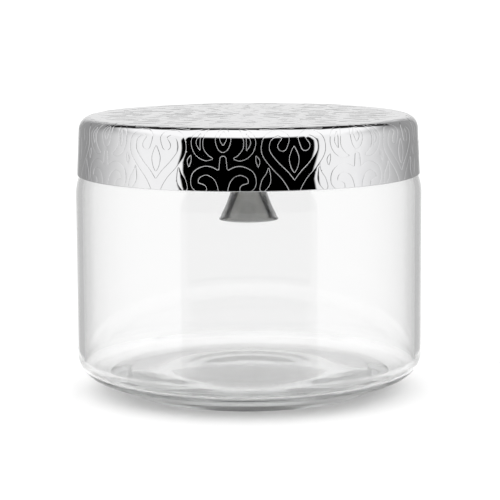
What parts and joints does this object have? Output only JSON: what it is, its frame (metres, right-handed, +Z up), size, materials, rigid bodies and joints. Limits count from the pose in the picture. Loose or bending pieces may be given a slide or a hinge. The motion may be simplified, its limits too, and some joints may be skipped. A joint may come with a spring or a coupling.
{
  "type": "lidded glass storage jar",
  "caption": "Wide clear glass jar with a lift-off stamped steel cap, a silicone seal and a small bell with a swinging clapper hanging under the cap.",
  "frame": {"origin": "on the table under the middle of the foot", "axes": "+Z up along the jar's axis, -Y towards the viewer"},
  "size_m": [0.14, 0.14, 0.112],
  "materials": {
    "clear_glass": "clear soda-lime glass, fire-polished",
    "polished_steel": "mirror-polished stainless steel with a fine pressed line relief",
    "liner_plastic": "natural white moulded plastic, fine satin",
    "silicone": "translucent food-grade silicone, dull",
    "plain_steel": "turned stainless steel, fine lathe lines",
    "fibre_washer": "red vulcanised fibre",
    "bell_steel": "polished stainless steel",
    "wire_steel": "drawn stainless steel wire"
  },
  "bodies": {
    "jar": {"glass_jar": "clear_glass"},
    "lid": {"lid_shell": "polished_steel", "lid_liner": "liner_plastic", "lid_gasket": "silicone", "weld_stud": "plain_steel", "bell_post": "plain_steel", "bell_washer": "fibre_washer", "bell": "bell_steel", "eye_nut": "plain_steel"},
    "link": {"jump_ring": "wire_steel"},
    "clapper": {"clapper_rod": "wire_steel", "clapper_ball": "bell_steel"}
  },
  "joints": [
    {"name": "lid_lift", "type": "slide", "parent": "jar", "child": "lid", "axis": [0, 0, 1], "range_m": [0, 0.06]},
    {"name": "link_swing", "type": "hinge", "parent": "lid", "child": "link", "pos_m": [0, 0, 0.08945], "axis": [0, 1, 0], "range_deg": [-14.5, 14.5]},
    {"name": "clapper_swing", "type": "hinge", "parent": "link", "child": "clapper", "pos_m": [0, 0, 0.08645], "axis": [1, 0, 0], "range_deg": [-17.5, 17.5]}
  ]
}
